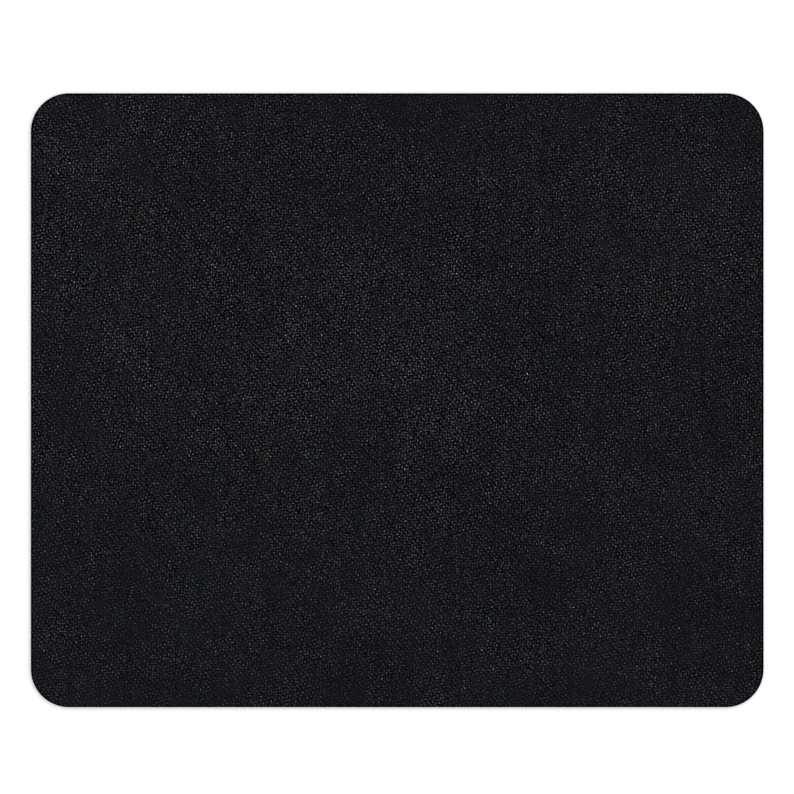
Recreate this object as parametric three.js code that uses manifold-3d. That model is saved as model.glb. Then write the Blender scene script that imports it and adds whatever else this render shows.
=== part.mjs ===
// Mouse pad: a woven cloth glued to foamed rubber, on a moulded non-slip rubber base.
// Millimetres. +X runs along the long side, +Y away from the user and +Z up.
// The origin is at the middle of the underside, on the desk.

import * as THREE from 'three';
import { mergeVertices } from 'three/addons/utils/BufferGeometryUtils.js';
import Module from 'manifold-3d';

const wasm = await Module();
wasm.setup();

// Outline, cut through all the layers by one die
const padWidth = 234.95; // 9 1/4 in
const padDepth = 196.85; // 7 3/4 in
const cornerRadius = 12.2;
const cornerSteps = 12; // facets in each rounded corner

// Layers, from the desk up
const baseThickness = 0.8;
const filmThickness = 0.1;
const coreThickness = 1.6;
const clothThickness = 0.6;

// Cut edge: the die rolls the cloth over, and the foam draws back between its skins
const clothRoll = 0.3;
const rollLimitShare = 0.6; // most of the cloth's thickness that the roll may take
const rollSteps = 4;
const coreDish = 0.15;
const dishSteps = 6;

// Non-slip relief under the base: wavy lands that touch the desk, with V grooves between
const landPitch = 4.5;
const grooveWidth = 1.8;
const grooveDepth = 0.35;
const waveLength = 39;
const waveHeight = 3; // from the middle of a wave to its crest
const waveSteps = 6; // facets in each wave

// How far a sheet runs past the die before it is cut
const cutOverrun = 2;

// Heights of the faces where one layer lies on the next
const baseTop = baseThickness;
const lowerFilmTop = baseTop + filmThickness;
const coreTop = lowerFilmTop + coreThickness;
const upperFilmTop = coreTop + filmThickness;
const clothTop = upperFilmTop + clothThickness;

// The pad's outline seen from above, counterclockwise, drawn in by an inset
function outline(inset) {
  const radius = cornerRadius - inset;
  const reachX = padWidth / 2 - cornerRadius;
  const reachY = padDepth / 2 - cornerRadius;
  const quarter = Math.PI / 2;
  const corners = [[1, 1], [-1, 1], [-1, -1], [1, -1]];
  const points = [];
  corners.forEach(([sideX, sideY], corner) => {
    for (let step = 0; step <= cornerSteps; step += 1) {
      const angle = quarter * (corner + step / cornerSteps);
      const x = sideX * reachX + radius * Math.cos(angle);
      const y = sideY * reachY + radius * Math.sin(angle);
      points.push(new THREE.Vector2(x, y));
    }
  });
  return points;
}

// A closed body through sections of the same number of points. Each section is drawn
// counterclockwise as seen from the last one, and place sets its points in space.
function loft(sections, place) {
  const count = sections[0].length;
  const last = sections.length - 1;
  const positions = [];
  const faces = [];
  sections.forEach((section, level) => {
    section.forEach((point) => positions.push(...place(point, level).toArray()));
  });
  for (let level = 0; level < last; level += 1) {
    for (let i = 0; i < count; i += 1) {
      const next = (i + 1) % count;
      const a = level * count + i;
      const b = level * count + next;
      const c = a + count;
      const d = b + count;
      faces.push(a, b, d, a, d, c);
    }
  }
  for (const [i, j, k] of THREE.ShapeUtils.triangulateShape(sections[0], [])) {
    faces.push(i, k, j);
  }
  for (const [i, j, k] of THREE.ShapeUtils.triangulateShape(sections[last], [])) {
    faces.push(last * count + i, last * count + j, last * count + k);
  }
  const geometry = new THREE.BufferGeometry();
  geometry.setAttribute('position', new THREE.Float32BufferAttribute(positions, 3));
  geometry.setIndex(faces);
  return geometry;
}

// A layer of the pad, from the insets and heights of its edge, lowest first
function layer(edge) {
  const sections = edge.map(({ inset }) => outline(inset));
  const place = (point, level) => new THREE.Vector3(point.x, point.y, edge[level].height);
  return loft(sections, place);
}

function flatLayer(bottom, top) {
  return layer([{ inset: 0, height: bottom }, { inset: 0, height: top }]);
}

// Cloth: the upper edge is rolled over by the die
function clothGeometry() {
  const roll = Math.min(clothRoll, clothThickness * rollLimitShare);
  const edge = [{ inset: 0, height: upperFilmTop }];
  for (let step = 0; step <= rollSteps; step += 1) {
    const angle = (Math.PI / 2) * (step / rollSteps);
    const inset = roll * (1 - Math.cos(angle));
    const height = clothTop - roll * (1 - Math.sin(angle));
    edge.push({ inset, height });
  }
  return layer(edge);
}

// Foam core: its cut edge is hollow halfway up
function coreGeometry() {
  const edge = [];
  for (let step = 0; step <= dishSteps; step += 1) {
    const share = step / dishSteps;
    const inset = coreDish * Math.sin(Math.PI * share);
    const height = THREE.MathUtils.lerp(lowerFilmTop, coreTop, share);
    edge.push({ inset, height });
  }
  return layer(edge);
}

// Section across the moulded sheet that the base is cut from: lands and V grooves below,
// and a flat back above
function reliefSection() {
  const landWidth = landPitch - grooveWidth;
  const reach = padDepth / 2 + waveHeight + cutOverrun;
  const lands = 2 * Math.ceil(reach / landPitch) + 1;
  const back = baseTop + cutOverrun;
  const points = [];
  for (let land = 0; land < lands; land += 1) {
    const middle = (land - (lands - 1) / 2) * landPitch;
    points.push(new THREE.Vector2(middle - landWidth / 2, 0));
    points.push(new THREE.Vector2(middle + landWidth / 2, 0));
    if (land < lands - 1) {
      points.push(new THREE.Vector2(middle + landPitch / 2, grooveDepth));
    }
  }
  points.push(new THREE.Vector2(points.at(-1).x, back));
  points.push(new THREE.Vector2(points[0].x, back));
  return points;
}

// The moulded sheet: its section is carried along the long side and sways in waves
function mouldedSheet() {
  const stepLength = waveLength / waveSteps;
  const halfSteps = Math.ceil((padWidth / 2 + cutOverrun) / stepLength);
  const section = reliefSection();
  const sections = Array.from({ length: 2 * halfSteps + 1 }, () => section);
  const place = (point, level) => {
    const x = (level - halfSteps) * stepLength;
    const sway = waveHeight * Math.sin((2 * Math.PI * x) / waveLength);
    return new THREE.Vector3(x, point.x + sway, point.y);
  };
  return loft(sections, place);
}

function toSolid(geometry) {
  const merged = mergeVertices(geometry);
  const mesh = new wasm.Mesh({
    numProp: 3,
    vertProperties: merged.attributes.position.array,
    triVerts: new Uint32Array(merged.index.array),
  });
  return new wasm.Manifold(mesh);
}

function fromSolid(solid) {
  const mesh = solid.getMesh();
  const geometry = new THREE.BufferGeometry();
  geometry.setAttribute('position', new THREE.BufferAttribute(mesh.vertProperties, mesh.numProp));
  geometry.setIndex(new THREE.BufferAttribute(mesh.triVerts, 1));
  return geometry;
}

// Base: the moulded sheet cut to the pad's outline
function baseGeometry() {
  const die = toSolid(flatLayer(-cutOverrun, baseTop));
  return fromSolid(toSolid(mouldedSheet()).intersect(die));
}

function clothMaterial() {
  return new THREE.MeshStandardMaterial({ color: '#1b1c1f', roughness: 0.85, metalness: 0 });
}

function filmMaterial() {
  return new THREE.MeshStandardMaterial({ color: '#232326', roughness: 0.5, metalness: 0 });
}

function foamMaterial() {
  return new THREE.MeshStandardMaterial({ color: '#151517', roughness: 0.95, metalness: 0 });
}

function rubberMaterial() {
  return new THREE.MeshStandardMaterial({ color: '#18181a', roughness: 0.7, metalness: 0 });
}

function addPiece(pad, name, geometry, material) {
  const piece = new THREE.Mesh(geometry, material);
  piece.name = name;
  geometry.computeVertexNormals();
  pad.add(piece);
}

const pad = new THREE.Group();
pad.name = 'mouse_pad';
addPiece(pad, 'grip_base', baseGeometry(), rubberMaterial());
addPiece(pad, 'lower_bond_film', flatLayer(baseTop, lowerFilmTop), filmMaterial());
addPiece(pad, 'foam_core', coreGeometry(), foamMaterial());
addPiece(pad, 'upper_bond_film', flatLayer(coreTop, upperFilmTop), filmMaterial());
addPiece(pad, 'top_cloth', clothGeometry(), clothMaterial());

export default pad;
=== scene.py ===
import math

import bpy
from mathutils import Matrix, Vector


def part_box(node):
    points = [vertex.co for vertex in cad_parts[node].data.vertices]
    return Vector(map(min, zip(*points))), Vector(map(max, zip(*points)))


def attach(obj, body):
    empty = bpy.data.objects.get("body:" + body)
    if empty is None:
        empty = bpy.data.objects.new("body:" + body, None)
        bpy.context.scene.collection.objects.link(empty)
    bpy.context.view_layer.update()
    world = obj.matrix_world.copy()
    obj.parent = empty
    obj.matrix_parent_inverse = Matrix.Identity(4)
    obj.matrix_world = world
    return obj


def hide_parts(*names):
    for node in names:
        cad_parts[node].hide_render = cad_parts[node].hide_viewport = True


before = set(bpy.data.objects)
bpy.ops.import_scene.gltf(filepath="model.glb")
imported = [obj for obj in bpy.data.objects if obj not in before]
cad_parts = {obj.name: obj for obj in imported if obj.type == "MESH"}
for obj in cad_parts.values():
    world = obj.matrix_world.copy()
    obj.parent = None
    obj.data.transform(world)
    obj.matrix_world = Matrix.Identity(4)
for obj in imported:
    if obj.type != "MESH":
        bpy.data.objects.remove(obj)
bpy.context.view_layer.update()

# Mouse pad: a woven top, glued foam and a moulded rubber base, dressed here round the
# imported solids. Metres, in the same frame as the solids.

mm = 0.001

clothLow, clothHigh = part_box("top_cloth")
coreLow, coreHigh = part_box("foam_core")
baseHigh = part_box("grip_base")[1]

# The outline that one die cuts through all the layers
pad = {
    "width": clothHigh.x - clothLow.x,
    "depth": clothHigh.y - clothLow.y,
    "cornerRadius": 12.2 * mm,
    "cornerSteps": 32,
    "overrun": 2 * mm,  # how thick a skin is made before it is cut
    "spareRows": 2,  # rows laid past the outline on each side
    "samePlace": 0.0001 * mm,  # points this near are made one
    "sameRim": 0.001 * mm,
}


# A socket that sums can be written with. Each operator adds its own node to the net.
class Wire:
    def __init__(self, net, socket):
        self.net = net
        self.socket = socket

    def __add__(self, other):
        return self.net.maths("ADD", self, other)

    def __radd__(self, other):
        return self.net.maths("ADD", other, self)

    def __sub__(self, other):
        return self.net.maths("SUBTRACT", self, other)

    def __rsub__(self, other):
        return self.net.maths("SUBTRACT", other, self)

    def __mul__(self, other):
        return self.net.maths("MULTIPLY", self, other)

    def __rmul__(self, other):
        return self.net.maths("MULTIPLY", other, self)

    def __truediv__(self, other):
        return self.net.maths("DIVIDE", self, other)

    def __rtruediv__(self, other):
        return self.net.maths("DIVIDE", other, self)

    def __pow__(self, other):
        return self.net.maths("POWER", self, other)

    def __rpow__(self, other):
        return self.net.maths("POWER", other, self)

    def __neg__(self):
        return self.net.maths("MULTIPLY", self, -1.0)

    def __lt__(self, other):
        return self.net.maths("LESS_THAN", self, other)

    def __gt__(self, other):
        return self.net.maths("GREATER_THAN", self, other)

    def __mod__(self, other):
        return self.net.maths("FLOORED_MODULO", self, other)

    def __abs__(self):
        return self.net.maths("ABSOLUTE", self)

    @property
    def isVector(self):
        return self.socket.type in ("VECTOR", "RGBA")


# A node that has been added: its outputs are read by name or by number
class Made:
    def __init__(self, net, node):
        self.net = net
        self.node = node

    def __getitem__(self, name):
        return Wire(self.net, openSocket(self.node.outputs, name))


def openSocket(sockets, name):
    if isinstance(name, int):
        return sockets[name]
    return next(s for s in sockets if s.name == name and s.enabled)


# One node tree, and the one method that adds any kind of node to it
class Net:
    def __init__(self, tree):
        self.tree = tree

    def add(self, kind, settings=None, sockets=None):
        node = self.tree.nodes.new(kind)
        for name, value in (settings or {}).items():
            setattr(node, name, value)
        for name, value in (sockets or {}).items():
            self.feed(openSocket(node.inputs, name), value)
        return Made(self, node)

    def feed(self, socket, value):
        if isinstance(value, Wire):
            self.tree.links.new(value.socket, socket)
        elif isinstance(value, list):  # for a socket that takes many links
            for each in reversed(value):
                self.tree.links.new(each.socket, socket)
        elif socket.type == "RGBA" and len(value) == 3:
            socket.default_value = (*value, 1.0)
        else:
            socket.default_value = value

    def maths(self, operation, *values):
        vector = any(isinstance(v, tuple) or isinstance(v, Wire) and v.isVector for v in values)
        kind = "ShaderNodeVectorMath" if vector else "ShaderNodeMath"
        return self.add(kind, {"operation": operation}, dict(enumerate(values)))[0]

    def floor(self, value):
        return self.maths("FLOOR", value)

    def sine(self, value):
        return self.maths("SINE", value)

    def cosine(self, value):
        return self.maths("COSINE", value)

    def smallest(self, a, b):
        return self.maths("MINIMUM", a, b)

    def largest(self, a, b):
        return self.maths("MAXIMUM", a, b)

    # how far the place x, y is from 0, 0
    def distance(self, x, y):
        return self.maths("SQRT", x * x + y * y)

    # 1 at the place 0, 0, and falling away round it
    def hump(self, x, y, steepness=1.0):
        return self.maths("EXPONENT", (x * x + y * y) * -steepness)

    def vector(self, x=0.0, y=0.0, z=0.0):
        return self.add("ShaderNodeCombineXYZ", None, {"X": x, "Y": y, "Z": z})["Vector"]

    def parts(self, vector):
        split = self.add("ShaderNodeSeparateXYZ", None, {"Vector": vector})
        return split["X"], split["Y"], split["Z"]

    # a where choice is 0, b where it is 1
    def either(self, choice, a, b):
        sockets = {"Factor": choice, "A": a, "B": b}
        return self.add("ShaderNodeMix", {"data_type": "FLOAT"}, sockets)["Result"]

    def mixColour(self, factor, a, b):
        sockets = {"Factor": factor, "A": a, "B": b}
        return self.add("ShaderNodeMix", {"data_type": "RGBA"}, sockets)["Result"]

    # value carried from the range low..high to 0..1, eased at both ends
    def ramp(self, value, low, high):
        settings = {"interpolation_type": "SMOOTHSTEP"}
        sockets = {"Value": value, "From Min": low, "From Max": high}
        return self.add("ShaderNodeMapRange", settings, sockets)["Result"]

    # three numbers that wander smoothly about 0.5 from place to place
    def wander(self, place, size, detail=2.0, roughness=0.5):
        sockets = {"Vector": place, "Scale": 1 / size, "Detail": detail, "Roughness": roughness}
        return self.parts(self.add("ShaderNodeTexNoise", None, sockets)["Color"])

    # distance to the middle of the nearest cell, in shares of the cells' size
    def cells(self, place, size, feature="F1"):
        sockets = {"Vector": place, "Scale": 1 / size}
        return self.add("ShaderNodeTexVoronoi", {"feature": feature}, sockets)["Distance"]


# A Geometry Nodes tree whose sizes are named inputs
class ShapeNet(Net):
    kinds = {
        float: "NodeSocketFloat",
        int: "NodeSocketInt",
        bpy.types.Material: "NodeSocketMaterial",
    }

    def __init__(self, name, finish, sizes):
        super().__init__(bpy.data.node_groups.new(name, "GeometryNodeTree"))
        self.sizes = {
            "Width": pad["width"],
            "Depth": pad["depth"],
            "Corner Radius": pad["cornerRadius"],
            "Corner Steps": pad["cornerSteps"],
            **sizes,
            "Material": finish,
        }
        face = self.tree.interface
        for label, value in self.sizes.items():
            face.new_socket(name=label, in_out="INPUT", socket_type=self.kinds[type(value)])
        face.new_socket(name="Geometry", in_out="OUTPUT", socket_type="NodeSocketGeometry")
        self.given = self.add("NodeGroupInput")

    def close(self, geometry):
        sockets = {"Geometry": geometry}
        solid = self.add("GeometryNodeRealizeInstances", None, sockets)["Geometry"]
        sockets = {"Geometry": solid, "Material": self.given["Material"]}
        dressed = self.add("GeometryNodeSetMaterial", None, sockets)["Geometry"]
        self.add("NodeGroupOutput", None, {"Geometry": dressed})

    # Runs the tree once and keeps what it makes as a plain mesh
    def grow(self, name):
        piece = bpy.data.objects.new(name, bpy.data.meshes.new(name))
        bpy.context.scene.collection.objects.link(piece)
        maker = piece.modifiers.new("maker", "NODES")
        maker.node_group = self.tree
        for item in self.tree.interface.items_tree:
            if item.in_out == "INPUT":
                maker[item.identifier] = self.sizes[item.name]
        ready = bpy.context.evaluated_depsgraph_get()
        mesh = bpy.data.meshes.new_from_object(piece.evaluated_get(ready), depsgraph=ready)
        piece.modifiers.remove(maker)
        piece.data = mesh
        mesh.name = name
        print(f"{name}: {len(mesh.vertices)} points, {len(mesh.polygons)} faces")
        return piece

    def move(self, geometry, position, selection=True):
        sockets = {"Geometry": geometry, "Position": position, "Selection": selection}
        return self.add("GeometryNodeSetPosition", None, sockets)["Geometry"]

    def position(self):
        return self.add("GeometryNodeInputPosition")["Position"]

    def index(self):
        return self.add("GeometryNodeInputIndex")["Index"]

    def join(self, *geometries):
        sockets = {"Geometry": list(geometries)}
        return self.add("GeometryNodeJoinGeometry", None, sockets)["Geometry"]

    def weld(self, geometry, distance):
        sockets = {"Geometry": geometry, "Distance": distance}
        return self.add("GeometryNodeMergeByDistance", None, sockets)["Geometry"]

    def flip(self, mesh):
        return self.add("GeometryNodeFlipFaces", None, {"Mesh": mesh})["Mesh"]

    # A grid with its points 1 apart, and each point's whole numbers across and along it
    def grid(self, across, along):
        sockets = {
            "Size X": across,
            "Size Y": along,
            "Vertices X": across + 1,
            "Vertices Y": along + 1,
        }
        mesh = self.add("GeometryNodeMeshGrid", None, sockets)["Mesh"]
        x, y = self.parts(self.position())[:2]
        return mesh, self.floor(x + 0.5), self.floor(y + 0.5)

    # The pad's outline as a closed curve on the desk
    def outline(self):
        given = self.given
        sockets = {"Width": given["Width"], "Height": given["Depth"]}
        plain = self.add("GeometryNodeCurvePrimitiveQuadrilateral", None, sockets)["Curve"]
        sockets = {"Curve": plain, "Radius": given["Corner Radius"], "Count": given["Corner Steps"]}
        return self.add("GeometryNodeFilletCurve", {"mode": "POLY"}, sockets)["Curve"]

    # Fills one rim of an open band, at a height, with flat faces
    def lid(self, band, height, faceDown):
        z = self.parts(self.position())[2]
        sockets = {0: z, 1: height, 2: pad["sameRim"]}
        onRim = self.add("ShaderNodeMath", {"operation": "COMPARE"}, sockets)["Value"]
        sockets = {"Mesh": band, "Selection": onRim}
        rim = self.add("GeometryNodeMeshToCurve", None, sockets)["Curve"]
        flat = self.add("GeometryNodeFillCurve", None, {"Curve": rim})["Mesh"]
        sockets = {"Geometry": flat, "Translation": self.vector(z=height)}
        raised = self.add("GeometryNodeTransform", None, sockets)["Geometry"]
        return self.flip(raised) if faceDown else raised

    # A closed slab: the outline swept with an edge that can be hollow and rolled over on top.
    # The edge is drawn flat, with minus its inset along x and minus its height along y.
    def slab(self, outline, bottom, top, rows, roll=0.0, dish=0.0):
        line = self.add("GeometryNodeMeshLine", None, {"Count": rows})["Mesh"]
        share = self.index() / (rows - 1)
        inset = dish * self.sine(math.pi * share)
        height = bottom + (top - bottom - roll) * share
        side = self.move(line, self.vector(-inset, -height))
        rollRows = 6
        arcLine = self.add("GeometryNodeMeshLine", None, {"Count": rollRows})["Mesh"]
        angle = self.index() * (math.pi / 2 / (rollRows - 1))
        arcInset = roll * (1.0 - self.cosine(angle))
        arcHeight = top - roll * (1.0 - self.sine(angle))
        arc = self.move(arcLine, self.vector(-arcInset, -arcHeight))
        edge = self.weld(self.join(side, arc), pad["samePlace"])
        profile = self.add("GeometryNodeMeshToCurve", None, {"Mesh": edge})["Curve"]
        sockets = {"Curve": outline, "Profile Curve": profile}
        band = self.flip(self.add("GeometryNodeCurveToMesh", None, sockets)["Mesh"])
        whole = self.join(band, self.lid(band, top, False), self.lid(band, bottom, True))
        return self.weld(whole, pad["sameRim"])

    # A moulded or woven skin made thick, then cut to the slab's shape
    def cutSkin(self, skin, lift, slab):
        sockets = {"Mesh": skin, "Offset": self.vector(z=lift), "Individual": False}
        back = self.add("GeometryNodeExtrudeMesh", {"mode": "FACES"}, sockets)["Mesh"]
        thick = self.weld(self.join(skin, self.flip(back)), pad["samePlace"])
        settings = {"operation": "INTERSECT", "solver": "MANIFOLD"}
        return self.add("GeometryNodeMeshBoolean", settings, {"Mesh": [thick, slab]})["Mesh"]

    # Smooth shading, but for edges that bend more than an angle
    def smooth(self, mesh, angle):
        sockets = {"Geometry": mesh, "Shade Smooth": True}
        soft = self.add("GeometryNodeSetShadeSmooth", {"domain": "FACE"}, sockets)["Geometry"]
        bend = self.add("GeometryNodeInputMeshEdgeAngle")["Unsigned Angle"]
        sockets = {"Geometry": soft, "Selection": bend > angle, "Shade Smooth": False}
        return self.add("GeometryNodeSetShadeSmooth", {"domain": "EDGE"}, sockets)["Geometry"]


# A material's tree, which ends in one Principled shader
class Finish(Net):
    def __init__(self, name):
        self.material = bpy.data.materials.new(name)
        self.material.use_nodes = True
        super().__init__(self.material.node_tree)
        self.tree.nodes.clear()

    def close(self, **sockets):
        named = {name.replace("_", " "): value for name, value in sockets.items()}
        shader = self.add("ShaderNodeBsdfPrincipled", None, named)["BSDF"]
        self.add("ShaderNodeOutputMaterial", None, {"Surface": shader})
        return self.material

    def spot(self):
        return self.add("ShaderNodeTexCoord")["Object"]

    def noise(self, place, size=1.0, detail=2.0, roughness=0.5):
        sockets = {"Vector": place, "Scale": 1 / size, "Detail": detail, "Roughness": roughness}
        return self.add("ShaderNodeTexNoise", None, sockets)["Fac"]

    # three random numbers from 0 to 1 for each whole-numbered place
    def draw(self, place):
        return self.parts(self.add("ShaderNodeTexWhiteNoise", None, {"Vector": place})["Color"])

    def bump(self, height, depth):
        sockets = {"Height": height, "Distance": depth, "Strength": 1.0}
        return self.add("ShaderNodeBump", None, sockets)["Normal"]

    # a soft hill, 1 high in its middle
    def hill(self, x, y, middle, reach):
        return self.hump((x - middle[0]) / reach[0], (y - middle[1]) / reach[1])

    # how far a point is inside the pad's outline
    def edgeReach(self, x, y):
        radius = pad["cornerRadius"]
        outX = abs(x) - (pad["width"] / 2 - radius)
        outY = abs(y) - (pad["depth"] / 2 - radius)
        corner = self.distance(self.largest(outX, 0.0), self.largest(outY, 0.0))
        return radius - corner - self.smallest(self.largest(outX, outY), 0.0)


# Woven top: 2/2 twill. Each yarn floats over two others, and the floats step down to the right.
cloth = {
    "warpPitch": 0.8475 * mm,  # yarns that run away from the user
    "weftPitch": 0.8896 * mm,  # yarns that run along the long side
    "weftSlope": -0.0516,  # the cloth lies slightly askew
    "spareYarns": 4,  # yarns laid past the outline on each side
    "stray": (2.0 * mm, 1.4 * mm),
    "straySize": 60 * mm,
    "relief": 0.14 * mm,
    "unevenness": 0.25,  # share of the relief that a float may lack
    "edgeRoll": 0.3 * mm,
    "edgeRows": 3,
    "crestGap": 0.02 * mm,  # how far above the crests the die's top lies
    "sharpAngle": math.radians(50),
    "seed": 7,
    "tone": 0.0101,  # mean brightness
    "darkest": 0.02,  # in shares of the mean
    # each float's painted highlight and painted shade
    "proudLow": 1.39,  # strength of the painted highlight and shade, lowest and highest, drawn for each float
    "proudHigh": 1.97,
    "warpFullness": 6.36,  # how square a float's section is
    "weftFullness": 2.12,
    "endFullness": 2.58,  # how square its ends are
    "gapReach": 0.425,  # share of its height up to which its side is in shade
    "shoulderPlace": (-0.127, 0.111),  # the painted highlight of a float, from its middle
    "shoulderShift": 0.5,  # how far that spot wanders from float to float
    "shoulderEdge": 2.83,  # how steeply it fades
    "shoulderMean": 0.42,
    # fibres and their bundles, with shifts that give each yarn and float its own pattern
    "twist": 0.5,
    "fibresAcross": 8,
    "fibresAlong": 0.8,
    "fibreShift": (7.31, 5.17),
    "fibreEdge": (0.35, 0.65),
    "fibreDull": 0.35,  # brightness between the fibres
    "fibreGain": 1.3,
    "bundleWidth": 0.3 * mm,
    "bundleLength": 0.38 * mm,
    "bundleShift": (17.3, 13.9),
    "bundleSpread": 5000.0,  # the brightest bundle against the dullest
    "weftShift": 9,
    "livelyTone": 1.22,
    "slub": 0.4,
    "slubLength": 30,  # in yarns
    "slubShift": (5.3, 7),
    # weave contrast: how much of the floats' painted highlight and shade shows, painted stronger in
    # some places and weaker in others
    "napLow": 0.615,
    "napRise": 0.45,
    "napMiddle": (-4 * mm, 22 * mm),
    "napReach": (130 * mm, 80 * mm),
    "napPatch": 2.05,
    "patchSize": 13 * mm,
    "napMean": 0.9,
    "napShade": 0.15,
    # places painted brighter or darker, with more or less of the weave's contrast: middle, reach
    # and rise
    "brushMarks": [
        ((-100 * mm, 62 * mm), (26 * mm, 36 * mm), 0.18),
        ((102 * mm, 62 * mm), (26 * mm, 36 * mm), 0.18),
        ((8 * mm, 97 * mm), (34 * mm, 16 * mm), -0.3),
        ((-70 * mm, -95 * mm), (50 * mm, 20 * mm), -0.08),
    ],
    "brushShade": 0.2,
    "cloud": 0.4,
    "cloudSize": 45 * mm,
    "cloudShift": (0.3, 0.1, 0.0),
    "mottle": 0.55,
    "mottleSize": 7 * mm,
    "streak": 0.4,
    "streakWidth": 2.2 * mm,
    "streakLength": 50 * mm,
    "lean": 0.35,  # painted darkening: loss of brightness for each metre to the right
    # hue: a blue cast that drifts over the cloth and differs from float to float
    "castFade": 0.58,  # below 1 the bright fibres have less of it
    "castRed": -0.0095,
    "castBlue": 0.0355,
    "driftSize": 20 * mm,
    "driftRed": 0.042,
    "driftBlue": 0.17,
    "driftBoth": 0.025,  # where the cast turns red it loses this much blue
    "shadeBlue": 0.016,  # darker patches are bluer
    "pickRed": 0.014,
    "pickBlue": 0.032,
    "pickShift": 500,
    # the die presses the rim down, and the rim is painted dark as its shade
    "rimTone": 0.03,
    "rimEdge": (0.4 * mm, 0.6 * mm),
    # yarn ends at the cut
    "endMiddle": 0.25 * mm,  # above the cloth's underside
    "endHeight": 0.16 * mm,  # half of what shows of one
    "endWidth": 1.1,
    "endStep": 0.9,  # from a low one to a high one, in halves of their height
    "endEdge": (0.5, 1.1),
    "endHollow": 0.3,  # painted shade between the fibres of an end
    "endDark": 0.004,
    "endPale": 0.045,
    "cutDrop": 0.2 * mm,  # from the crests down to the cut side
    "cutFade": 0.08 * mm,
    "fibreSize": 0.06 * mm,
    "fibreCore": (0.1, 0.6),
    # bump
    "domeRelief": 0.5,
    "fibreRelief": 0.5,
    "bumpDepth": 0.05 * mm,
    "roughness": 0.85,
}

floatLength = 2  # yarns that a float passes over
twillRepeat = 2 * floatLength  # yarns in one repeat of the weave


# How far the loom let the yarns stray from their straight lines, at a place on the cloth
def stray(net, x, y):
    drift = net.wander(net.vector(x, y), cloth["straySize"], detail=1.0)
    return (drift[0] - 0.5) * cloth["stray"][0], (drift[1] - 0.5) * cloth["stray"][1]


# One float, in yarns: a hexagon two long and one wide, with its middle raised
def makeFloat(net):
    sockets = {"Vertices": 6, "Radius": 1.0}
    fan = net.add("GeometryNodeMeshCircle", {"fill_type": "TRIANGLE_FAN"}, sockets)["Mesh"]
    sockets = {"Geometry": fan, "Rotation": (0.0, 0.0, math.pi / 6)}
    turned = net.add("GeometryNodeTransform", None, sockets)["Geometry"]
    x, y = net.parts(net.position())[:2]
    isMiddle = x * x + y * y < 0.5
    onMiddleLine = abs(x) < 0.1
    # the rim points go to the four corners and to the middles of the long sides
    push = 4
    cornerX = net.largest(net.smallest(x * push, 1.0), -1.0)
    rimY = net.largest(net.smallest(y * push, 0.5), -0.5)
    return net.move(turned, net.vector(net.either(onMiddleLine, cornerX, 0.0), rimY, isMiddle))


# All the floats of one direction, each at its place in the twill
def layFloats(net, single, upright, across, along):
    lines, length = (across, along) if upright else (along, across)
    blocks = net.floor(length / twillRepeat) + pad["spareRows"]
    points, line, block = net.grid(lines * 2, blocks * 2)
    start = block * twillRepeat - line % twillRepeat
    if upright:
        middle = net.vector(line + 0.5, start + floatLength * 0.5)
    else:
        middle = net.vector(start + floatLength * 1.5, line + 0.5)
    turn = (0.0, 0.0, math.pi / 2 if upright else 0.0)
    sockets = {"Points": net.move(points, middle), "Instance": single, "Rotation": turn}
    laid = net.add("GeometryNodeInstanceOnPoints", None, sockets)["Instances"]
    return net.add("GeometryNodeRealizeInstances", None, {"Geometry": laid})["Geometry"]


def twillSkin(net):
    given = net.given
    warpPitch, weftPitch = given["Warp Pitch"], given["Weft Pitch"]
    # yarns on each side of the middle
    across = net.floor(given["Width"] / 2 / warpPitch) + cloth["spareYarns"]
    sway = abs(given["Weft Slope"]) * given["Width"] / 2
    along = net.floor((given["Depth"] / 2 + sway) / weftPitch) + cloth["spareYarns"]
    single = makeFloat(net)
    floats = [layFloats(net, single, upright, across, along) for upright in (False, True)]
    sameCorner = 0.01  # in yarns
    weave = net.weld(net.join(*floats), sameCorner)
    u, v, rise = net.parts(net.position())
    sockets = {"Min": 1.0 - given["Unevenness"], "Max": 1.0, "Seed": given["Seed"]}
    crest = rise * net.add("FunctionNodeRandomValue", {"data_type": "FLOAT"}, sockets)["Value"]
    placeX = u * warpPitch
    placeY = v * weftPitch + placeX * given["Weft Slope"]
    placeZ = given["Top"] - given["Relief"] * (1.0 - crest)
    strayX, strayY = stray(net, placeX, placeY)
    return net.move(weave, net.vector(placeX + strayX, placeY + strayY, placeZ))


def makeTopCloth(finish):
    net = ShapeNet("woven top", finish, {
        "Bottom": clothLow.z,
        "Top": clothHigh.z,
        "Edge Roll": cloth["edgeRoll"],
        "Warp Pitch": cloth["warpPitch"],
        "Weft Pitch": cloth["weftPitch"],
        "Weft Slope": cloth["weftSlope"],
        "Relief": cloth["relief"],
        "Unevenness": cloth["unevenness"],
        "Seed": cloth["seed"],
    })
    given = net.given
    top, roll = given["Top"] + cloth["crestGap"], given["Edge Roll"]
    die = net.slab(net.outline(), given["Bottom"], top, cloth["edgeRows"], roll=roll)
    solid = net.cutSkin(twillSkin(net), -pad["overrun"], die)
    net.close(net.smooth(solid, cloth["sharpAngle"]))
    return net.grow("woven_top")


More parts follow.
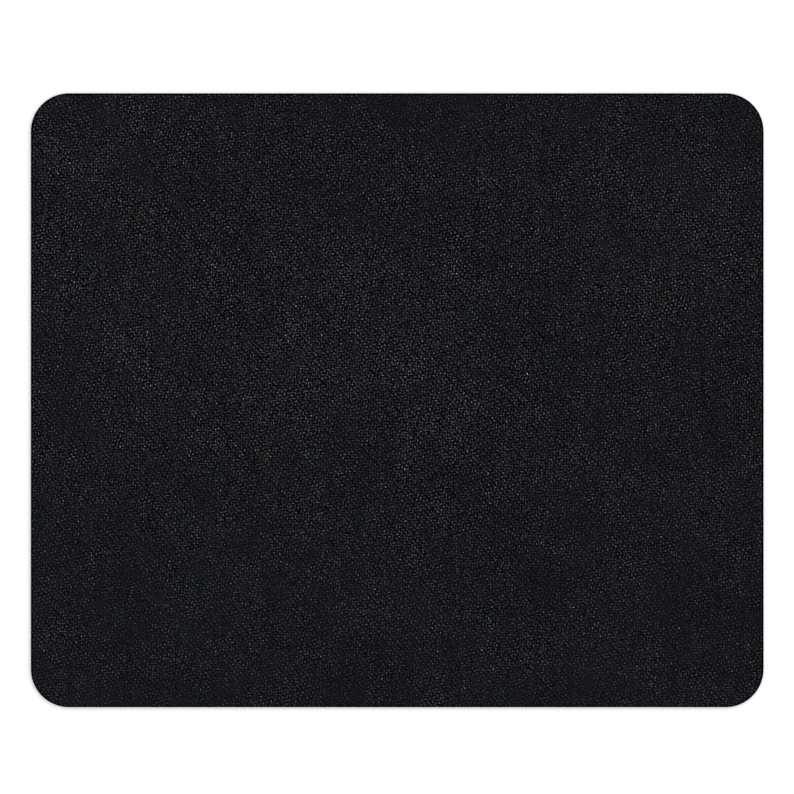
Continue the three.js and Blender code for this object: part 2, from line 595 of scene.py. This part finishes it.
# The float that shows at a place on the cloth, and where the place is on that float
def findFloat(paint, x, y):
    strayX, strayY = stray(paint, x, y)
    clothX, clothY = x - strayX, y - strayY
    u = clothX / cloth["warpPitch"]
    v = (clothY - clothX * cloth["weftSlope"]) / cloth["weftPitch"]
    warpYarn, weftYarn = paint.floor(u), paint.floor(v)
    weftUp = (warpYarn + weftYarn) % twillRepeat > floatLength - 0.5
    # -1 to 1 across the yarn, and along it from one end of the float to the other
    across = paint.either(weftUp, u - warpYarn, v - weftYarn) * 2 - 1
    alongWarp = (v + warpYarn) % twillRepeat
    alongWeft = (u + weftYarn) % twillRepeat - floatLength
    along = paint.either(weftUp, alongWarp, alongWeft) - 1
    return {
        "u": u,
        "v": v,
        "warpYarn": warpYarn,
        "weftYarn": weftYarn,
        "weftUp": weftUp,
        "across": across,
        "along": along,
        "right": paint.either(weftUp, across, along),
        "back": paint.either(weftUp, along, across),
        "yarn": paint.either(weftUp, warpYarn, weftYarn),
        "link": paint.floor(paint.either(weftUp, v + warpYarn, u + weftYarn) / twillRepeat),
    }


# Each float is a low dome, with a painted highlight near its middle and painted shade at its sides
# and ends; the highlight's strength is drawn at random for each float
def shadeFloat(paint, at):
    drawA, drawB, drawC = paint.draw(paint.vector(at["yarn"], at["link"], at["weftUp"]))
    fullness = paint.either(at["weftUp"], cloth["warpFullness"], cloth["weftFullness"])
    section = 1 - abs(at["across"]) ** fullness
    dome = section * (1 - abs(at["along"]) ** cloth["endFullness"])
    # painted shade where a float's sides and ends dip towards its neighbours
    gapShade = paint.ramp(dome, 0.0, cloth["gapReach"])
    # painted highlight, set off the middle and wandering from float to float
    highlightX = at["right"] - cloth["shoulderPlace"][0] + (drawB - 0.5) * cloth["shoulderShift"]
    highlightY = at["back"] - cloth["shoulderPlace"][1] + (drawC - 0.5) * cloth["shoulderShift"]
    paintedHighlight = paint.hump(highlightX, highlightY, cloth["shoulderEdge"])
    highlightGain = cloth["proudLow"] + (cloth["proudHigh"] - cloth["proudLow"]) * drawA
    light = 1 + (paintedHighlight - cloth["shoulderMean"]) * highlightGain
    return dome, gapShade * paint.largest(light, cloth["darkest"])


# Fibres run along the yarn with its twist, their lines painted lighter and darker, in bundles that
# carry painted glints of differing strength
def lightFibres(paint, at):
    yarn, link, along = at["yarn"], at["link"], at["along"]
    twisted = at["across"] + along * cloth["twist"]
    layer = at["weftUp"] * cloth["weftShift"]
    fibreX = twisted * cloth["fibresAcross"] + yarn * cloth["fibreShift"][0]
    fibreY = along * cloth["fibresAlong"] + link * cloth["fibreShift"][1]
    grain = paint.noise(paint.vector(fibreX, fibreY, layer), detail=1.0, roughness=0.6)
    fibre = paint.ramp(grain, *cloth["fibreEdge"])
    bundlesAcross = 0.5 * cloth["warpPitch"] / cloth["bundleWidth"]
    bundlesAlong = cloth["warpPitch"] / cloth["bundleLength"]
    bundleX = twisted * bundlesAcross + yarn * cloth["bundleShift"][0]
    bundleY = along * bundlesAlong + link * cloth["bundleShift"][1]
    bundle = paint.noise(paint.vector(bundleX, bundleY, layer), detail=0.0)
    # painted glints: each bundle is brighter or duller at random
    glint = cloth["bundleSpread"] ** (bundle - 0.5)
    return fibre, glint * (cloth["fibreDull"] + cloth["fibreGain"] * fibre) * cloth["livelyTone"]


# Some yarns are thicker here and there, and a little paler
def paleSlubs(paint, at):
    shiftX, shiftZ = cloth["slubShift"]
    runs = paint.either(at["weftUp"], at["v"], at["u"]) / cloth["slubLength"]
    place = paint.vector(at["yarn"] * shiftX, runs, at["weftUp"] * shiftZ)
    return 1 + (paint.noise(place, detail=1.0) - 0.5) * cloth["slub"]


# The weave's painted highlight and shade show most behind the middle and less in soft patches, and
# the cloth is painted brighter or darker at set places and darker to the right
def paintUnevenLight(paint, spot, x, y):
    patch = paint.noise(spot, cloth["patchSize"], detail=4.0, roughness=0.7) - 0.5
    swell = paint.hill(x, y, cloth["napMiddle"], cloth["napReach"])
    marks = cloth["brushMarks"]
    markedLight = sum(paint.hill(x, y, middle, reach) * rise for middle, reach, rise in marks)
    streakPlace = paint.vector(x / cloth["streakWidth"], y / cloth["streakLength"])
    streak = (paint.noise(streakPlace, detail=2.0, roughness=0.6) - 0.5) * cloth["streak"]
    baseContrast = cloth["napLow"] + cloth["napRise"] * swell + patch * cloth["napPatch"]
    weaveContrast = baseContrast + streak + markedLight
    cloudPlace = spot + cloth["cloudShift"]
    cloud = paint.noise(cloudPlace, cloth["cloudSize"], detail=3.0, roughness=0.6) - 0.5
    mottle = paint.noise(spot, cloth["mottleSize"], detail=3.0, roughness=0.6) - 0.5
    # painted light: brighter or darker with the weave's contrast and at the marks, and darker to
    # the right
    unevenLight = (weaveContrast - cloth["napMean"]) * cloth["napShade"] + markedLight * cloth["brushShade"]
    patches = cloud * cloth["cloud"] + mottle * cloth["mottle"] + streak
    return weaveContrast, 1 + unevenLight + patches - x * cloth["lean"]


# At the cut the yarns end in tufts of fibres, high and low by turns, painted paler than the painted
# shade between them and between their fibres
def cutTufts(paint, spot, at):
    x, y, z = paint.parts(spot)
    weftCut = abs(x) - pad["width"] / 2 > abs(y) - pad["depth"] / 2
    cutYarn = paint.either(weftCut, at["warpYarn"], at["weftYarn"])
    across = (paint.either(weftCut, at["u"], at["v"]) - cutYarn) * 2 - 1
    up = (z - (clothLow.z + cloth["endMiddle"])) / cloth["endHeight"]
    endAcross = across * cloth["endWidth"]
    endUp = up + (cutYarn % 2 - 0.5) * cloth["endStep"]
    end = 1 - paint.ramp(endAcross * endAcross + endUp * endUp, *cloth["endEdge"])
    fibreEnd = 1 - paint.ramp(paint.cells(spot, cloth["fibreSize"]), *cloth["fibreCore"])
    tuft = end * (cloth["endHollow"] + (1 - cloth["endHollow"]) * fibreEnd)
    cutTop = clothHigh.z - cloth["cutDrop"]
    cutSide = 1 - paint.ramp(z, cutTop - cloth["cutFade"], cutTop)
    return tuft, cutSide


# The grey has a blue cast, weaker in the bright fibres, and the cast drifts over the cloth
def castHue(paint, spot, at, grey, shade):
    drift = paint.wander(spot, cloth["driftSize"], detail=7.0, roughness=0.92)
    redDrift, blueDrift = drift[0] - 0.5, drift[2] - 0.5
    place = paint.vector(at["yarn"] + cloth["pickShift"], at["link"], at["weftUp"])
    redPick, bluePick = paint.draw(place)[:2]
    cast = grey ** cloth["castFade"]
    addedRed = redDrift * cloth["driftRed"] + (redPick - 0.5) * cloth["pickRed"]
    addedBlue = blueDrift * cloth["driftBlue"] + (bluePick - 0.5) * cloth["pickBlue"]
    turnedBlue = (1 - shade) * cloth["shadeBlue"] - redDrift * cloth["driftBoth"]
    red = grey + cast * (cloth["castRed"] + addedRed)
    blue = grey + cast * (cloth["castBlue"] + addedBlue + turnedBlue)
    sockets = {"Red": red, "Green": grey, "Blue": blue}
    return paint.add("ShaderNodeCombineColor", None, sockets)["Color"]


def makeClothFinish():
    paint = Finish("twill_cloth_finish")
    spot = paint.spot()
    x, y = paint.parts(spot)[:2]
    at = findFloat(paint, x, y)
    dome, shape = shadeFloat(paint, at)
    fibre, lit = lightFibres(paint, at)
    weaveContrast, shade = paintUnevenLight(paint, spot, x, y)
    lively = shape * lit * paleSlubs(paint, at)
    light = paint.largest((1 + (lively - 1) * weaveContrast) * shade, cloth["darkest"])
    # painted shade on the rolled rim: darker near the outline
    rimShare = paint.ramp(paint.edgeReach(x, y), *cloth["rimEdge"])
    rim = cloth["rimTone"] + (1 - cloth["rimTone"]) * rimShare
    tuft, cutSide = cutTufts(paint, spot, at)
    cutGrey = cloth["endDark"] + (cloth["endPale"] - cloth["endDark"]) * tuft
    grey = paint.either(cutSide, light * rim * cloth["tone"], cutGrey)
    relief = dome * cloth["domeRelief"] + fibre * cloth["fibreRelief"] + tuft * cutSide
    return paint.close(
        Base_Color=castHue(paint, spot, at, grey, shade),
        Roughness=cloth["roughness"],
        Specular_IOR_Level=0.0,
        Normal=paint.bump(relief, cloth["bumpDepth"]),
    )


# Foam core: closed-cell rubber foam whose cut edge is hollow and pitted
foam = {
    "edgeDish": 0.15 * mm,
    "rows": 9,
    "step": 0.18 * mm,
    "poreSize": 0.36 * mm,
    "poreDepth": 0.14 * mm,
    "poreEdge": (0.1, 0.55),  # a pit's floor and its brim, in shares of a pore
    "rimGap": 0.05 * mm,  # kept free of pits at the top and the bottom
    "sharpAngle": math.radians(60),
    # pores and bubbles are painted darker than the walls between them, as shade in their hollows
    "poreWall": (0.12, 0.5),
    "bubbleSize": 0.14 * mm,
    "bubbleWall": (0.12, 0.55),
    "bubbleTone": 0.25,
    "poreTone": 0.003,
    "wallTone": 0.021,
    "bumpDepth": 0.08 * mm,
    "grimeSize": 3 * mm,
    "grimeLow": 0.6,
    "grimeRise": 0.8,
    "cleanTint": (1.0, 1.0, 1.08),
    "grimeTint": (1.04, 1.0, 0.96),
    "roughness": 0.88,
    "grimeRoughness": 0.08,
    "specular": 0.2,
}


def makeFoamCore(finish):
    net = ShapeNet("foam core", finish, {
        "Bottom": coreLow.z,
        "Top": coreHigh.z,
        "Edge Dish": foam["edgeDish"],
        "Rows": foam["rows"],
        "Step": foam["step"],
        "Pore Size": foam["poreSize"],
        "Pore Depth": foam["poreDepth"],
    })
    given = net.given
    bottom, top = given["Bottom"], given["Top"]
    sockets = {"Curve": net.outline(), "Length": given["Step"]}
    fine = net.add("GeometryNodeResampleCurve", {"mode": "LENGTH"}, sockets)["Curve"]
    plain = net.slab(fine, bottom, top, given["Rows"], dish=given["Edge Dish"])
    # pores: rounded pits in the cut edge, none at its two rims
    spot = net.position()
    pit = 1.0 - net.ramp(net.cells(spot, given["Pore Size"]), *foam["poreEdge"])
    height = net.parts(spot)[2]
    inside = net.smallest(height - bottom, top - height) > foam["rimGap"]
    normal = net.add("GeometryNodeInputNormal")["Normal"]
    pitted = net.move(plain, spot - normal * (given["Pore Depth"] * pit), inside)
    net.close(net.smooth(pitted, foam["sharpAngle"]))
    return net.grow("foam_layer")


def makeFoamFinish():
    paint = Finish("foam_rubber_finish")
    spot = paint.spot()
    # painted shade in the pores and bubbles, lighter walls between them
    poreWall = paint.ramp(paint.cells(spot, foam["poreSize"]), *foam["poreWall"])
    bubbleWall = paint.ramp(paint.cells(spot, foam["bubbleSize"]), *foam["bubbleWall"])
    wall = poreWall * (foam["bubbleTone"] + (1 - foam["bubbleTone"]) * bubbleWall)
    grime = paint.noise(spot, foam["grimeSize"], detail=4.0, roughness=0.6)
    # grime on the walls, together with the painted shade of the pores
    shadedAndSoiled = wall * (foam["grimeLow"] + foam["grimeRise"] * grime)
    tone = foam["poreTone"] + (foam["wallTone"] - foam["poreTone"]) * shadedAndSoiled
    return paint.close(
        Base_Color=paint.mixColour(grime, foam["cleanTint"], foam["grimeTint"]) * tone,
        Roughness=foam["roughness"] + foam["grimeRoughness"] * grime,
        Specular_IOR_Level=foam["specular"],
        Normal=paint.bump(wall, foam["bumpDepth"]),
    )


# Rubber base: lands that sway in waves, with grooves between, pressed in a mould
base = {
    "landPitch": 4.5 * mm,
    "grooveWidth": 1.8 * mm,
    "grooveDepth": 0.35 * mm,
    "grooveRows": 7,  # steps from one side of a groove to the other
    "waveLength": 39 * mm,
    "waveHeight": 3 * mm,
    "waveSteps": 24,
    "dieDrop": 1 * mm,  # how far under the lands the die's bottom lies
    "sharpAngle": math.radians(40),
    # moulded skin
    "rubberTone": 0.009,
    "darkest": 0.004,
    "skinTone": 0.5,
    "flowSize": 14 * mm,
    "flowTone": 0.7,
    "grainSize": 0.2 * mm,
    "grainTone": 0.4,
    "grainRelief": 0.4,
    "pebbleSize": 0.5 * mm,
    "pebbleTop": (0.1, 0.5),
    # pebbles are painted darker towards their edges, as shade between them
    "pebbleEdge": (0.2, 0.6),
    "pebbleTone": 1.25,
    "pebbleRelief": 0.6,
    "bumpDepth": 0.12 * mm,
    # dust, most of it on the lands
    "dustTone": 0.016,
    "landEdge": (0.02 * mm, 0.12 * mm),  # heights where the lands end and the grooves begin
    "grooveDust": 0.25,
    "pebbleDust": 0.4,
    "scuffSize": 6 * mm,
    "scuffEdge": (0.42, 0.72),
    "cleanTint": (1.0, 1.0, 1.06),
    "dustTint": (1.03, 1.0, 0.95),
    # the die leaves fine upright score lines in the cut side
    "cutEdge": (0.01 * mm, 0.03 * mm),
    "scoreSize": 0.12 * mm,
    "scoreStretch": (1.0, 1.0, 0.06),
    "scoreMean": 0.35,
    "scoreTone": 0.03,
    "cutRoughness": 0.8,
    "roughness": 0.5,
    "flowRoughness": 0.2,
    "dustRoughness": 0.2,
    "specular": 0.2,
}


def waveSkin(net):
    given = net.given
    pitch, groove = given["Land Pitch"], given["Groove Width"]
    rows = base["grooveRows"] + 1  # points from one land to the next
    spare = pad["spareRows"]
    lands = net.floor((given["Depth"] / 2 + given["Wave Height"]) / pitch) + spare
    step = given["Wave Length"] / given["Wave Steps"]
    columns = net.floor(given["Width"] / 2 / step) + spare
    grid, column, row = net.grid(columns * 2, lands * 2 * rows)
    land = net.floor(row / rows)
    inLand = row - land * rows
    share = net.largest(inLand - 1, 0.0) / base["grooveRows"]
    landWidth = pitch - groove
    landStart = land * pitch - landWidth / 2
    across = landStart + landWidth * net.smallest(inLand, 1.0) + groove * share
    x = column * step
    sway = given["Wave Height"] * net.sine(x * (2 * math.pi) / given["Wave Length"])
    z = given["Groove Depth"] * (0.5 - 0.5 * net.cosine(share * 2 * math.pi))
    return net.move(grid, net.vector(x, across + sway, z))


def makeGripBase(finish):
    net = ShapeNet("grip base", finish, {
        "Top": baseHigh.z,
        "Land Pitch": base["landPitch"],
        "Groove Width": base["grooveWidth"],
        "Groove Depth": base["grooveDepth"],
        "Wave Length": base["waveLength"],
        "Wave Height": base["waveHeight"],
        "Wave Steps": base["waveSteps"],
    })
    die = net.slab(net.outline(), -base["dieDrop"], net.given["Top"], 2)
    solid = net.cutSkin(net.flip(waveSkin(net)), pad["overrun"], die)
    net.close(net.smooth(solid, base["sharpAngle"]))
    return net.grow("wave_base")


def makeRubberFinish():
    paint = Finish("grip_rubber_finish")
    spot = paint.spot()
    x, y, z = paint.parts(spot)
    pebble = paint.cells(spot, base["pebbleSize"], "SMOOTH_F1")
    grain = paint.noise(spot, base["grainSize"], detail=3.0, roughness=0.6)
    flow = paint.noise(spot, base["flowSize"], detail=4.0, roughness=0.55)
    land = 1 - paint.ramp(z, *base["landEdge"])
    landDust = base["grooveDust"] + (1 - base["grooveDust"]) * land
    pebbleTop = paint.ramp(pebble, *base["pebbleTop"])
    pebbleDust = base["pebbleDust"] + (1 - base["pebbleDust"]) * pebbleTop
    scuffs = paint.noise(spot, base["scuffSize"], detail=6.0, roughness=0.72)
    dust = landDust * paint.ramp(scuffs, *base["scuffEdge"]) * pebbleDust
    cut = 1 - paint.ramp(paint.edgeReach(x, y), *base["cutEdge"])
    scorePlace = spot * base["scoreStretch"]
    score = paint.noise(scorePlace, base["scoreSize"], detail=3.0, roughness=0.7)
    skin = base["skinTone"] + base["flowTone"] * flow + base["grainTone"] * grain
    # painted shade: each pebble darker towards its edge
    pebbleShaded = skin * (base["pebbleTone"] - paint.ramp(pebble, *base["pebbleEdge"]))
    rubber = base["rubberTone"] * paint.either(cut, pebbleShaded, 1.0)
    scored = cut * (score - base["scoreMean"]) * base["scoreTone"]
    tone = paint.largest(rubber + base["dustTone"] * dust + scored, base["darkest"])
    moulded = grain * base["grainRelief"] - pebble * base["pebbleRelief"]
    matt = base["roughness"] + base["flowRoughness"] * flow + base["dustRoughness"] * dust
    return paint.close(
        Base_Color=paint.mixColour(dust, base["cleanTint"], base["dustTint"]) * tone,
        Roughness=paint.either(cut, matt, base["cutRoughness"]),
        Specular_IOR_Level=base["specular"],
        Normal=paint.bump(paint.either(cut, moulded, score), base["bumpDepth"]),
    )


# Bond films: hot-melt glue that shows as two thin lines at the cut edge
film = {
    "darkTone": (0.013, 0.013, 0.0145),
    "paleTone": (0.022, 0.022, 0.023),
    "flowSize": 1.6 * mm,
    "grainSize": 0.1 * mm,
    "grainRelief": 0.3,
    "bumpDepth": 0.02 * mm,
    "roughness": 0.38,
    "flowRoughness": 0.2,
    "specular": 0.4,
}


def makeFilmFinish():
    paint = Finish("bond_film_finish")
    spot = paint.spot()
    flow = paint.noise(spot, film["flowSize"], detail=3.0, roughness=0.6)
    grain = paint.noise(spot, film["grainSize"], detail=2.0, roughness=0.6)
    return paint.close(
        Base_Color=paint.mixColour(flow, film["darkTone"], film["paleTone"]),
        Roughness=film["roughness"] + film["flowRoughness"] * flow,
        Specular_IOR_Level=film["specular"],
        Normal=paint.bump(flow + grain * film["grainRelief"], film["bumpDepth"]),
    )


def dressNode(name, finish):
    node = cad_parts[name]
    for slot in node.material_slots:
        slot.material = finish


# Studio: a pale floor, a round soft box almost overhead, a lamp under the floor that lights
# the underside, and a camera that looks straight down
studio = {
    "floorTone": 0.9,
    "floorGlow": 0.14,  # seen by the camera only, so that open floor is white
    "farGlow": 0.6,  # added far from the pad, where the soft box no longer reaches
    "farEdge": (0.4, 2.0),  # distances where that begins and is complete
    "floorSize": 6.0,
    "floorDrop": 0.02 * mm,  # keeps the floor off the lands' own plane
    "underGap": 0.6 * mm,  # rays shorter than this pass the floor, which lights the grooves
    "ambient": 0.33,
    "lampHeight": 2.0,
    "lampSize": 1.44,
    "lampSlope": (0.1, 0.085),
    "lampPower": 32.0,
    "underSlope": (0.5, -0.45),
    "underSize": 0.8,
    "underPower": 30.0,
    "lens": 150.0,
    "cameraAim": (-0.074 * mm, 1.037 * mm),
    "viewWidth": 254.54 * mm,
}


# 1 for what the camera sees, directly or in a reflection, and 0 for the light on the pad
def seenRays(net, rays):
    mirrored = net.largest(rays["Is Camera Ray"], rays["Is Glossy Ray"])
    return net.largest(mirrored, rays["Is Transmission Ray"])


def makeFloor():
    half = studio["floorSize"] / 2
    drop = -studio["floorDrop"]
    corners = [(-half, -half, drop), (half, -half, drop), (half, half, drop), (-half, half, drop)]
    mesh = bpy.data.meshes.new("floor")
    mesh.from_pydata(corners, [], [(0, 1, 2, 3)])
    floor = bpy.data.objects.new("floor", mesh)
    bpy.context.scene.collection.objects.link(floor)
    paint = Finish("floor_finish")
    tone = studio["floorTone"]
    plain = paint.add("ShaderNodeBsdfDiffuse", None, {"Color": (tone, tone, tone)})["BSDF"]
    rays = paint.add("ShaderNodeLightPath")
    x, y = paint.parts(paint.spot())[:2]
    far = paint.ramp(paint.distance(x, y), *studio["farEdge"])
    seen = seenRays(paint, rays) * (studio["floorGlow"] + studio["farGlow"] * far)
    glowTone = paint.mixColour(seen, (0.0, 0.0, 0.0), (1.0, 1.0, 1.0))
    glow = paint.add("ShaderNodeEmission", None, {"Color": glowTone})["Emission"]
    lit = paint.add("ShaderNodeAddShader", None, {0: plain, 1: glow})["Shader"]
    # from below the floor lets the underside be seen and lit
    behind = paint.add("ShaderNodeNewGeometry")["Backfacing"]
    seeThrough = paint.largest(behind, rays["Ray Length"] < studio["underGap"])
    clear = paint.add("ShaderNodeBsdfTransparent")["BSDF"]
    both = paint.add("ShaderNodeMixShader", None, {"Fac": seeThrough, 1: lit, 2: clear})["Shader"]
    paint.add("ShaderNodeOutputMaterial", None, {"Surface": both})
    mesh.materials.append(paint.material)


# A round lamp above or below the floor that points at the pad's middle
def makeLamp(name, height, slope, size, power):
    light = bpy.data.lights.new(name, "AREA")
    light.shape = "DISK"
    light.size = size
    light.energy = power
    lamp = bpy.data.objects.new(name, light)
    lamp.location = (abs(height) * slope[0], abs(height) * slope[1], height)
    lamp.rotation_euler = (-lamp.location).to_track_quat("-Z", "Y").to_euler()
    bpy.context.scene.collection.objects.link(lamp)


def makeLights():
    height = studio["lampHeight"]
    makeLamp("soft_box", height, studio["lampSlope"], studio["lampSize"], studio["lampPower"])
    makeLamp("under_lamp", -height, studio["underSlope"], studio["underSize"], studio["underPower"])
    world = bpy.data.worlds.new("studio")
    world.use_nodes = True
    bpy.context.scene.world = world
    sky = Net(world.node_tree)
    world.node_tree.nodes.clear()
    seen = seenRays(sky, sky.add("ShaderNodeLightPath"))
    strength = studio["ambient"] + seen * (1 - studio["ambient"])
    sockets = {"Color": (1.0, 1.0, 1.0), "Strength": strength}
    shade = sky.add("ShaderNodeBackground", None, sockets)["Background"]
    sky.add("ShaderNodeOutputWorld", None, {"Surface": shade})


def makeCamera():
    view = bpy.data.cameras.new("camera")
    view.lens = studio["lens"]
    distance = studio["viewWidth"] * studio["lens"] / view.sensor_width
    camera = bpy.data.objects.new("camera", view)
    camera.location = (*studio["cameraAim"], clothHigh.z + distance)
    bpy.context.scene.collection.objects.link(camera)
    bpy.context.scene.camera = camera


makeCamera()
makeLights()
makeFloor()
print("studio set up")

topCloth = makeTopCloth(makeClothFinish())
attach(topCloth, "root")
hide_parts("top_cloth")
print("cloth woven and cut")

foamLayer = makeFoamCore(makeFoamFinish())
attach(foamLayer, "root")
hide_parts("foam_core")
print("foam cut")

waveBase = makeGripBase(makeRubberFinish())
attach(waveBase, "root")
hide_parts("grip_base")
print("base moulded")

filmFinish = makeFilmFinish()
dressNode("upper_bond_film", filmFinish)
dressNode("lower_bond_film", filmFinish)
print("films dressed")

bpy.context.scene.view_settings.view_transform = "Standard"
